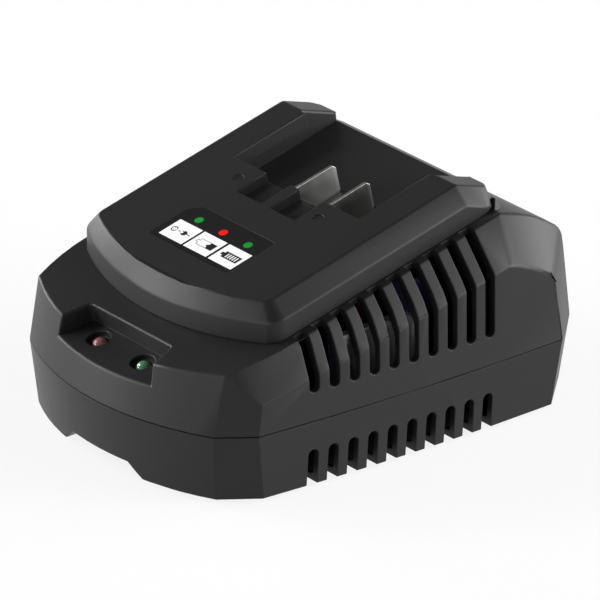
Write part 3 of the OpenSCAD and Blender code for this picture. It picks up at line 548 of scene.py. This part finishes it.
class CHARGER_OT_dock(bpy.types.Operator):
    """Makes the battery dock moulding with its rounded chamfer, rails and notches"""

    bl_idname = "charger.dock"
    bl_label = "Battery dock"

    def execute(self, context):
        blunt = sizes().dock_round / MM
        rim = sizes().rim_round / MM

        def width_of(angle, middle):
            deck = ON_DECK.inverted() @ (middle * MM) / MM
            across = abs(deck.x)
            blade_gap = min(across, abs(deck.x - BLADE_PITCH))
            tail = deck.y > 39.2
            dimple = deck.z > -0.5 and math.hypot(across - 18, deck.y + 6.7) < 2
            blade_slot = deck.z < -6 and -1 < deck.y < 16.5 and blade_gap < 1.2
            rail_top = deck.y > 27 and 29 < across < 31 and angle > BLUNT
            lip = 0 < deck.y < 27.5 and 27 < across < 28.5 and deck.z > -1
            label_rim = -0.45 < deck.z < 0.05 and deck.y < -21 and across < 19
            if angle < FOLD:
                return 0.0
            if tail:
                return TAIL_WIDTH
            if dimple:
                return DIMPLE_WIDTH
            if blade_slot:
                return SLOT_WIDTH
            if rail_top:
                return RAIL_WIDTH
            if lip:
                return LIP_WIDTH
            if label_rim:
                return LABEL_RIM_WIDTH
            return blunt if angle < BLUNT else rim

        plastic = moulded("dock_plastic", colours().dock, 0.42, sizes().grain, shine=0.2)
        rounded_node("battery_dock", plastic, width_of)
        return {"FINISHED"}


# ---- Label ------------------------------------------------------------------------------------

# On the dock's plane, in millimetres
PANEL_SPANS = ((-15.4, -5.15), (-4.3, 5.95), (6.9, 17.1))
PANEL_Y = (-39.1, -30.7)
DOT_SPOTS = ((-10.4, "green"), (0.6, "red"), (11.7, "green"))
DOT_Y = -27.9
DOT_RADIUS = 1.4
DOT_STEPS = 36
FILM_TOP = -0.05
# Undersides of the inks, which reach into the film or the panel below them, and their thickness
INK_UNDER = FILM_TOP - 0.02
PICTURE_UNDER = FILM_TOP - 0.01
INK_THICKNESS = 0.03

# From a panel's ends to the battery drawn on it, and the battery's neck and half height
CELL_START, CELL_END = 1.3, 1.2
CELL_NECK = 1.0
CELL_NECK_HALF = 0.6
CELL_HALF = 1.45
CELL_LINE = 0.16


def printed_piece(name, outlines, material, under):
    """Makes one printed layer of the label from its outlines."""
    bm = bmesh.new()
    for outline in outlines:
        plate(bm, outline, under, INK_THICKNESS)
    finish_piece(name, bm, material, smooth=False)


class CHARGER_OT_label(bpy.types.Operator):
    """Makes the label film with three printed panels, their pictures and the coloured dots"""

    bl_idname = "charger.label"
    bl_label = "Label"

    def execute(self, context):
        film = Finish("label_film", specular_ior_level=0.1)
        mottle = film.noise(scale=1400.0)
        film.feed("Base Color", film.tone(mottle, colours().film, 0.85, 1.15))
        film.feed("Roughness", 0.4 + mottle * 0.1)
        film.bump(mottle, 1.5 * INK_DEPTH, film.rounded(FILM_EDGE))
        painted_node("label_panel", film.material)

        panels = [box_outline(start, PANEL_Y[0], end, PANEL_Y[1]) for start, end in PANEL_SPANS]
        printed_piece("label_panels", panels, printed("panel_ink", colours().panel), INK_UNDER)
        for name, ink in (("green", colours().ready), ("red", colours().charging)):
            dots = [ring_points(x, DOT_Y, DOT_RADIUS, DOT_STEPS) for x, kind in DOT_SPOTS if kind == name]
            printed_piece(f"label_dots_{name}", dots, printed(f"{name}_ink", ink), INK_UNDER)

        middle = (PANEL_Y[0] + PANEL_Y[1]) / 2
        plug, half_full, full = PANEL_SPANS
        pictures = plug_picture(plug[0], middle)
        pictures += half_full_picture(half_full[0] + CELL_START, half_full[1] - CELL_END, middle)
        pictures += full_picture(full[0] + CELL_START, full[1] - CELL_END, middle)
        printed_piece("label_pictures", pictures, printed("picture_ink", colours().film), PICTURE_UNDER)
        return {"FINISHED"}


def box_outline(x0, y0, x1, y1):
    return [(x0, y0), (x1, y0), (x1, y1), (x0, y1)]


def plug_picture(left, middle):
    """An outlet with two holes, a dash, and a plug with its pins and cord."""
    outlet, plug = left + 2.3, left + 6.6
    rim = ring_points(outlet, middle, 1.15, 28, 8, 344) + ring_points(outlet, middle, 0.8, 28, 352, -344)
    holes = [ring_points(outlet, middle + side * 0.34, 0.17, 12) for side in (-1, 1)]
    dash = box_outline(left + 4.1, middle - 0.16, left + 4.9, middle + 0.16)
    back = left + 6.1
    body = ring_points(plug, middle, 1.05, 16, 90, -180) + [(back, middle - 1.05), (back, middle + 1.05)]
    pins = [
        box_outline(left + 5.4, middle + side * 0.55 - 0.15, left + 6.12, middle + side * 0.55 + 0.15)
        for side in (-1, 1)
    ]
    cord = box_outline(left + 7.6, middle - 0.15, left + 9.2, middle + 0.15)
    return [rim, *holes, dash, body, *pins, cord]


def half_full_picture(start, end, middle):
    """A battery in lines, with its filled part and an arrow head."""
    filled = box_outline(end - 2.6, middle - CELL_HALF + 0.14, end - 0.1, middle + CELL_HALF - 0.14)
    arrow = [(end - 3.5, middle - 0.1), (end - 2.5, middle - 0.85), (end - 2.5, middle + 0.65)]
    return cell_frame(start, end, middle) + [filled, arrow]


def full_picture(start, end, middle):
    """A solid battery with four upright bars in its window."""
    body = start + CELL_NECK
    window, window_end = body + 1.3, end - 0.9
    shapes = [
        box_outline(start, middle - CELL_NECK_HALF, body + 0.01, middle + CELL_NECK_HALF),
        box_outline(body, middle - CELL_HALF, window, middle + CELL_HALF),
        box_outline(window_end, middle - CELL_HALF, end, middle + CELL_HALF),
    ]
    for side in (-1, 1):
        edge = middle + side * (CELL_HALF - 0.25)
        shapes.append(box_outline(window, edge - 0.25, window_end, edge + 0.25))
    bar = (window_end - window) / 9
    for i in range(4):
        left = window + bar * (1 + 2 * i)
        shapes.append(box_outline(left, middle - CELL_HALF + 0.49, left + bar, middle + CELL_HALF - 0.49))
    return shapes


def cell_frame(start, end, middle):
    """Line drawing of a battery with its neck at the left."""
    neck = start + CELL_NECK
    top, bottom = middle + CELL_HALF, middle - CELL_HALF
    neck_top, neck_bottom = middle + CELL_NECK_HALF, middle - CELL_NECK_HALF
    return [
        box_outline(neck, top - CELL_LINE, end, top),
        box_outline(neck, bottom, end, bottom + CELL_LINE),
        box_outline(end - CELL_LINE, bottom, end, top),
        box_outline(neck, neck_top, neck + CELL_LINE, top),
        box_outline(neck, bottom, neck + CELL_LINE, neck_bottom),
        box_outline(start, neck_top - CELL_LINE, neck + CELL_LINE, neck_top),
        box_outline(start, neck_bottom, neck + CELL_LINE, neck_bottom + CELL_LINE),
        box_outline(start, neck_bottom, start + CELL_LINE, neck_top),
    ]


# ---- Terminals and lamps ----------------------------------------------------------------------

# On the ledge's plane, in millimetres
LAMP_SIDE, LAMP_Y, LAMP_Z = 10, -5.2, -14.5
# A lens: its flange, as radius and height, and the dome on it
LENS_FLANGE = ((0, 0), (2.75, 0), (2.9, 0.15), (2.9, 0.85), (2.75, 1.0), (2.5, 1.0))
DOME_RADIUS = 2.5
DOME_BASE = 6.1
DOME_STEP = 9
LENS_STEPS = 48
LENS_SHARP = 40.0


class CHARGER_OT_terminals(bpy.types.Operator):
    """Finishes the contact blades, their carrier and leads"""

    bl_idname = "charger.terminals"
    bl_label = "Terminals"

    def execute(self, context):
        # The blades' tapers get a painted highlight of 1.15 times their colour
        metal = sheet_metal(
            "terminal_metal", colours().blades, 0.36, stretch=(2600, 60, 60), turn=(TILT, 0, 0), taper_highlight=1.15
        )
        for node in ("middle_blade", "side_blade"):
            rounded_node(node, metal, width=0.12, segments=2)
        carrier = moulded("carrier_plastic", (0.014, 0.014, 0.015), 0.42)
        rounded_node("terminal_block", carrier, width=0.25)
        painted_node("terminal_leads", insulation("red_insulation", (0.36, 0.012, 0.01)))
        return {"FINISHED"}


class CHARGER_OT_lamps(bpy.types.Operator):
    """Makes the tinted lenses of the two indicator lamps"""

    bl_idname = "charger.lamps"
    bl_label = "Lamps"

    def execute(self, context):
        dome = [
            (DOME_RADIUS * math.cos(math.radians(a)), DOME_BASE + DOME_RADIUS * math.sin(math.radians(a)))
            for a in range(0, 90, DOME_STEP)
        ]
        profile = [*LENS_FLANGE, *dome, (0, DOME_BASE + DOME_RADIUS)]
        for name, side, tint in (("red", -1, colours().red_lens), ("green", 1, colours().green_lens)):
            lens = Finish(f"{name}_lamp_resin", transmission_weight=0.35, ior=1.5, coat_weight=1.0)
            swirl = lens.noise(scale=900.0)
            lens.feed("Base Color", lens.tone(swirl, tint, 0.8, 1.15))
            lens.feed("Roughness", 0.05 + swirl * 0.05)
            lens.bump(swirl, INK_DEPTH)
            place = ON_LEDGE @ Matrix.Translation((side * LAMP_SIDE * MM, LAMP_Y * MM, LAMP_Z * MM))
            turned(
                f"{name}_lamp_lens", profile, place, lens.material, (f"{name}_lamp",),
                LENS_STEPS, LENS_SHARP,
            )
        return {"FINISHED"}


# ---- Inside -----------------------------------------------------------------------------------


class CHARGER_OT_boards(bpy.types.Operator):
    """Finishes the circuit boards, the parts in black resin and the lamp leads"""

    bl_idname = "charger.boards"
    bl_label = "Circuit boards"

    def execute(self, context):
        board = Finish("circuit_board", coat_weight=0.3, coat_roughness=0.2)
        tracks = board.node(
            "ShaderNodeTexBrick",
            {"offset": 0.5, "squash": 1.0},
            {
                "Vector": board.place, "Scale": 190.0, "Mortar Size": 0.06, "Mortar Smooth": 0.2,
                "Color1": (1, 1, 1, 1), "Color2": (0.8, 0.8, 0.8, 1), "Mortar": (0, 0, 0, 1),
            },
            "Fac",
        )
        mottle = board.noise(scale=700.0)
        lacquer = board.blend(mottle, (0.01, 0.1, 0.035), (0.018, 0.14, 0.05))
        board.feed("Base Color", board.blend(tracks, lacquer, (0.035, 0.22, 0.09)))
        board.feed("Roughness", 0.3 + mottle * 0.12)
        board.bump(tracks, 0.00003)
        for node in ("main_board", "lamp_board"):
            painted_node(node, board.material)
        resin = moulded("black_resin", (0.012, 0.012, 0.013), 0.45, grain=0.0003)
        for node in ("control_chips", "power_transistor", "power_diode", "bridge_rectifier"):
            rounded_node(node, resin, width=0.12, segments=2)
        painted_node("lamp_leads", insulation("grey_insulation", (0.12, 0.12, 0.13), 0.4))
        return {"FINISHED"}


class CHARGER_OT_wound_parts(bpy.types.Operator):
    """Finishes the transformer and the choke"""

    bl_idname = "charger.wound_parts"
    bl_label = "Transformer and choke"

    def execute(self, context):
        ferrite = cast_surface("ferrite", (0.035, 0.035, 0.038), 0.6, grain=0.0004, depth=0.00002)
        rounded_node("transformer_core", ferrite, width=0.35)
        rounded_node("choke_core", ferrite, width=0.25)
        cream = moulded("bobbin_plastic", (0.55, 0.5, 0.38), 0.45, edge_highlight=0.0)
        rounded_node("transformer_bobbin", cream, width=0.15, segments=2)
        tape = banded("winding_tape", (0.72, 0.5, 0.05), (0.5, 0.32, 0.03), 110.0, 0.35, 0.00005)
        painted_node("transformer_winding", tape)
        wire = banded("copper_wire", (0.62, 0.26, 0.08), (0.2, 0.07, 0.02), 420.0, 0.3, 0.0002, metallic=1.0)
        painted_node("choke_winding", wire)
        return {"FINISHED"}


class CHARGER_OT_power_parts(bpy.types.Operator):
    """Finishes the capacitors, the fuse and the heat sinks"""

    bl_idname = "charger.power_parts"
    bl_label = "Power parts"

    def execute(self, context):
        sleeve = Finish("capacitor_sleeve", coat_weight=0.2)
        streak = sleeve.noise(scale=1.0, place=sleeve.stretched((500, 500, 40)))
        sleeve.feed("Base Color", sleeve.blend(streak, (0.012, 0.02, 0.07), (0.03, 0.045, 0.13)))
        sleeve.feed("Roughness", 0.28 + streak * 0.12)
        sleeve.bump(streak, 0.00001)
        for node in ("bulk_capacitor", "output_capacitors"):
            painted_node(node, sleeve.material)
        film_case = dipped_case("film_case", (0.6, 0.42, 0.03), 0.35, spread=0.08)
        rounded_node("film_capacitor", film_case, width=0.5)
        rounded_node("fuse", dipped_case("fuse_case", (0.12, 0.035, 0.02), 0.4), width=0.4)
        sink = sheet_metal("sink_aluminium", (0.74, 0.75, 0.77), 0.35, stretch=(2000, 2000, 40))
        for node in ("transistor_heat_sink", "diode_heat_sink"):
            rounded_node(node, sink, width=0.15, segments=2)
        return {"FINISHED"}


class CHARGER_OT_inlet(bpy.types.Operator):
    """Finishes the power inlet with its pins and leads"""

    bl_idname = "charger.inlet"
    bl_label = "Power inlet"

    def execute(self, context):
        resin = moulded("inlet_resin", (0.012, 0.012, 0.013), 0.4)
        rounded_node("inlet_socket", resin, width=0.25)
        plating = sheet_metal("pin_plating", (0.75, 0.74, 0.7), 0.25, stretch=(1800, 40, 1800))
        painted_node("inlet_pins", plating)
        painted_node("inlet_leads", insulation("blue_insulation", (0.02, 0.05, 0.25)))
        return {"FINISHED"}


class CHARGER_OT_fasteners(bpy.types.Operator):
    """Finishes the screws and the rubber feet"""

    bl_idname = "charger.fasteners"
    bl_label = "Screws and feet"

    def execute(self, context):
        even_grain = (900, 900, 900)
        zinc = sheet_metal("screw_steel", (0.66, 0.66, 0.68), 0.28, even_grain)
        black = sheet_metal("black_steel", (0.06, 0.06, 0.062), 0.42, even_grain)
        for node in ("terminal_screws", "lamp_board_screws", "board_screws", "dock_screws"):
            rounded_node(node, zinc, width=0.12, segments=2)
        rounded_node("housing_screws", black, width=0.18, segments=2)
        rubber = cast_surface("foot_rubber", (0.016, 0.016, 0.016), 0.78, grain=0.0003, depth=0.00002)
        rounded_node("rubber_feet", rubber, width=0.3)
        return {"FINISHED"}


# ---- Stage ------------------------------------------------------------------------------------

# Metres and degrees, and a lens in millimetres on a sensor of 36 mm
CAMERA_PLACE = (1.44032, -1.18944, 0.91450)
CAMERA_TURN = (90 - 25.3141, 0.0, 50.3057)
CAMERA_LENS = 428.57
CAMERA_SENSOR = 36.0
CAMERA_NEAR, CAMERA_FAR = 0.05, 50.0

# Softboxes: azimuth from the front and elevation in degrees, side length in metres and power in watts
SOFTBOXES = (
    ("front_left", -40.0, 8.0, 0.7, 23.0),
    ("left", -80.0, 8.0, 0.7, 16.0),
    ("front_left_high", -60.0, 35.0, 0.3, 10.0),
    ("front", 0.0, 8.0, 0.7, 6.0),
    ("right_rear_low", 130.0, 8.0, 0.7, 27.5),
    ("right_rear_high", 120.0, 35.0, 0.7, 7.0),
    ("rear_high", 150.0, 35.0, 0.7, 9.0),
    ("rear_low", 170.0, 8.0, 0.7, 12.5),
)
SOFTBOX_DISTANCE = 1.6
LIT_POINT = (0.0, 0.0, 0.035)

SKY_STRENGTH = 0.12
BACKDROP_HEIGHT = 1.6
FLOOR_DROP = 0.0002
FLOOR_STEPS = 96
# Rays to which the floor and the backdrop show white, and how much of it
DIRECT_RAYS = ("Is Camera Ray", "Is Glossy Ray", "Is Transmission Ray")
DIRECT_WHITE = 0.85


def softbox_place(azimuth, elevation):
    """Matrix of a softbox that looks at the lit point from that direction."""
    a, e = math.radians(azimuth), math.radians(elevation)
    back = Vector((math.sin(a) * math.cos(e), -math.cos(a) * math.cos(e), math.sin(e)))
    place = Vector(LIT_POINT) + back * SOFTBOX_DISTANCE
    return Matrix.Translation(place) @ back.to_track_quat("Z", "Y").to_matrix().to_4x4()


class CHARGER_OT_stage(bpy.types.Operator):
    """Makes the floor, the backdrop, the soft studio light, the world and the camera"""

    bl_idname = "charger.stage"
    bl_label = "Stage"

    def execute(self, context):
        white = self.floor_finish()
        self.staged("floor", white, 0.0)
        self.staged("backdrop", white, BACKDROP_HEIGHT)
        for name, azimuth, elevation, side, power in SOFTBOXES:
            light = bpy.data.lights.new(name, "AREA")
            light.shape = "SQUARE"
            light.size = side
            light.energy = power
            lamp = bpy.data.objects.new(name, light)
            bpy.context.scene.collection.objects.link(lamp)
            lamp.matrix_world = softbox_place(azimuth, elevation)
        self.world(context)
        self.camera(context)
        context.scene.view_settings.view_transform = "Standard"
        return {"FINISHED"}

    def staged(self, name, material, height):
        """Adds a disc, or a ring of that height."""
        bm = bmesh.new()
        bmesh.ops.create_circle(bm, cap_ends=height == 0.0, radius=sizes().floor_radius, segments=FLOOR_STEPS)
        if height:
            wall = bmesh.ops.extrude_edge_only(bm, edges=list(bm.edges))
            raised = [v for v in wall["geom"] if isinstance(v, bmesh.types.BMVert)]
            bmesh.ops.translate(bm, verts=raised, vec=(0, 0, height))
        mesh = bpy.data.meshes.new(name)
        bm.to_mesh(mesh)
        bm.free()
        piece = bpy.data.objects.new(name, mesh)
        bpy.context.scene.collection.objects.link(piece)
        piece.location.z = -FLOOR_DROP
        piece.data.materials.append(material)

    def floor_finish(self):
        """A pale matt floor that direct rays see nearly white, with the object's shadow."""
        finish = Finish("floor_white")
        finish.feed("Base Color", tuple(colours().floor))
        finish.feed("Roughness", 0.9)
        seen = 0.0
        for kind in DIRECT_RAYS:
            seen = finish.node("ShaderNodeLightPath", {}, {}, kind) + seen
        white = finish.node("ShaderNodeEmission", {}, {"Color": (1, 1, 1, 1), "Strength": 1.0})
        matt = Value(finish, finish.shader.outputs[0])
        mixed = finish.node("ShaderNodeMixShader", {}, {0: seen.clamped() * DIRECT_WHITE, 1: matt, 2: white})
        finish.tree.links.new(mixed.socket, finish.output.inputs["Surface"])
        return finish.material

    def world(self, context):
        world = bpy.data.worlds.new("studio")
        world.use_nodes = True
        tree = world.node_tree
        tree.nodes.clear()
        sky = tree.nodes.new("ShaderNodeBackground")
        sky.inputs["Color"].default_value = (1, 1, 1, 1)
        sky.inputs["Strength"].default_value = SKY_STRENGTH
        output = tree.nodes.new("ShaderNodeOutputWorld")
        tree.links.new(sky.outputs[0], output.inputs["Surface"])
        context.scene.world = world

    def camera(self, context):
        lens = bpy.data.cameras.new("camera")
        lens.sensor_width = CAMERA_SENSOR
        lens.lens = CAMERA_LENS
        lens.clip_start = CAMERA_NEAR
        lens.clip_end = CAMERA_FAR
        camera = bpy.data.objects.new("camera", lens)
        camera.location = CAMERA_PLACE
        camera.rotation_euler = [math.radians(a) for a in CAMERA_TURN]
        bpy.context.scene.collection.objects.link(camera)
        context.scene.camera = camera


# ---- Add-on -----------------------------------------------------------------------------------


class CHARGER_PT_pieces(bpy.types.Panel):
    """Lists the charger's pieces, sizes and colours"""

    bl_label = "Battery charger"
    bl_idname = "CHARGER_PT_pieces"
    bl_space_type = "VIEW_3D"
    bl_region_type = "UI"
    bl_category = "Charger"

    def draw(self, context):
        column = self.layout.column(align=True)
        for operator in PIECES:
            column.operator(operator.bl_idname)
        for group in (context.scene.charger_sizes, context.scene.charger_colours):
            column.separator()
            for name in group.__annotations__:
                column.prop(group, name)


PIECES = (
    CHARGER_OT_housing, CHARGER_OT_dock, CHARGER_OT_label, CHARGER_OT_terminals, CHARGER_OT_lamps,
    CHARGER_OT_boards, CHARGER_OT_wound_parts, CHARGER_OT_power_parts, CHARGER_OT_inlet,
    CHARGER_OT_fasteners, CHARGER_OT_stage,
)
CLASSES = (ChargerSizes, ChargerColours, *PIECES, CHARGER_PT_pieces)


def register():
    for kind in CLASSES:
        bpy.utils.register_class(kind)
    bpy.types.Scene.charger_sizes = bpy.props.PointerProperty(type=ChargerSizes)
    bpy.types.Scene.charger_colours = bpy.props.PointerProperty(type=ChargerColours)


def unregister():
    del bpy.types.Scene.charger_colours
    del bpy.types.Scene.charger_sizes
    for kind in reversed(CLASSES):
        bpy.utils.unregister_class(kind)


def main():
    register()
    bpy.ops.charger.housing()
    bpy.ops.charger.dock()
    bpy.ops.charger.label()
    bpy.ops.charger.terminals()
    bpy.ops.charger.lamps()
    bpy.ops.charger.boards()
    bpy.ops.charger.wound_parts()
    bpy.ops.charger.power_parts()
    bpy.ops.charger.inlet()
    bpy.ops.charger.fasteners()
    bpy.ops.charger.stage()


if __name__ == "__main__":
    main()
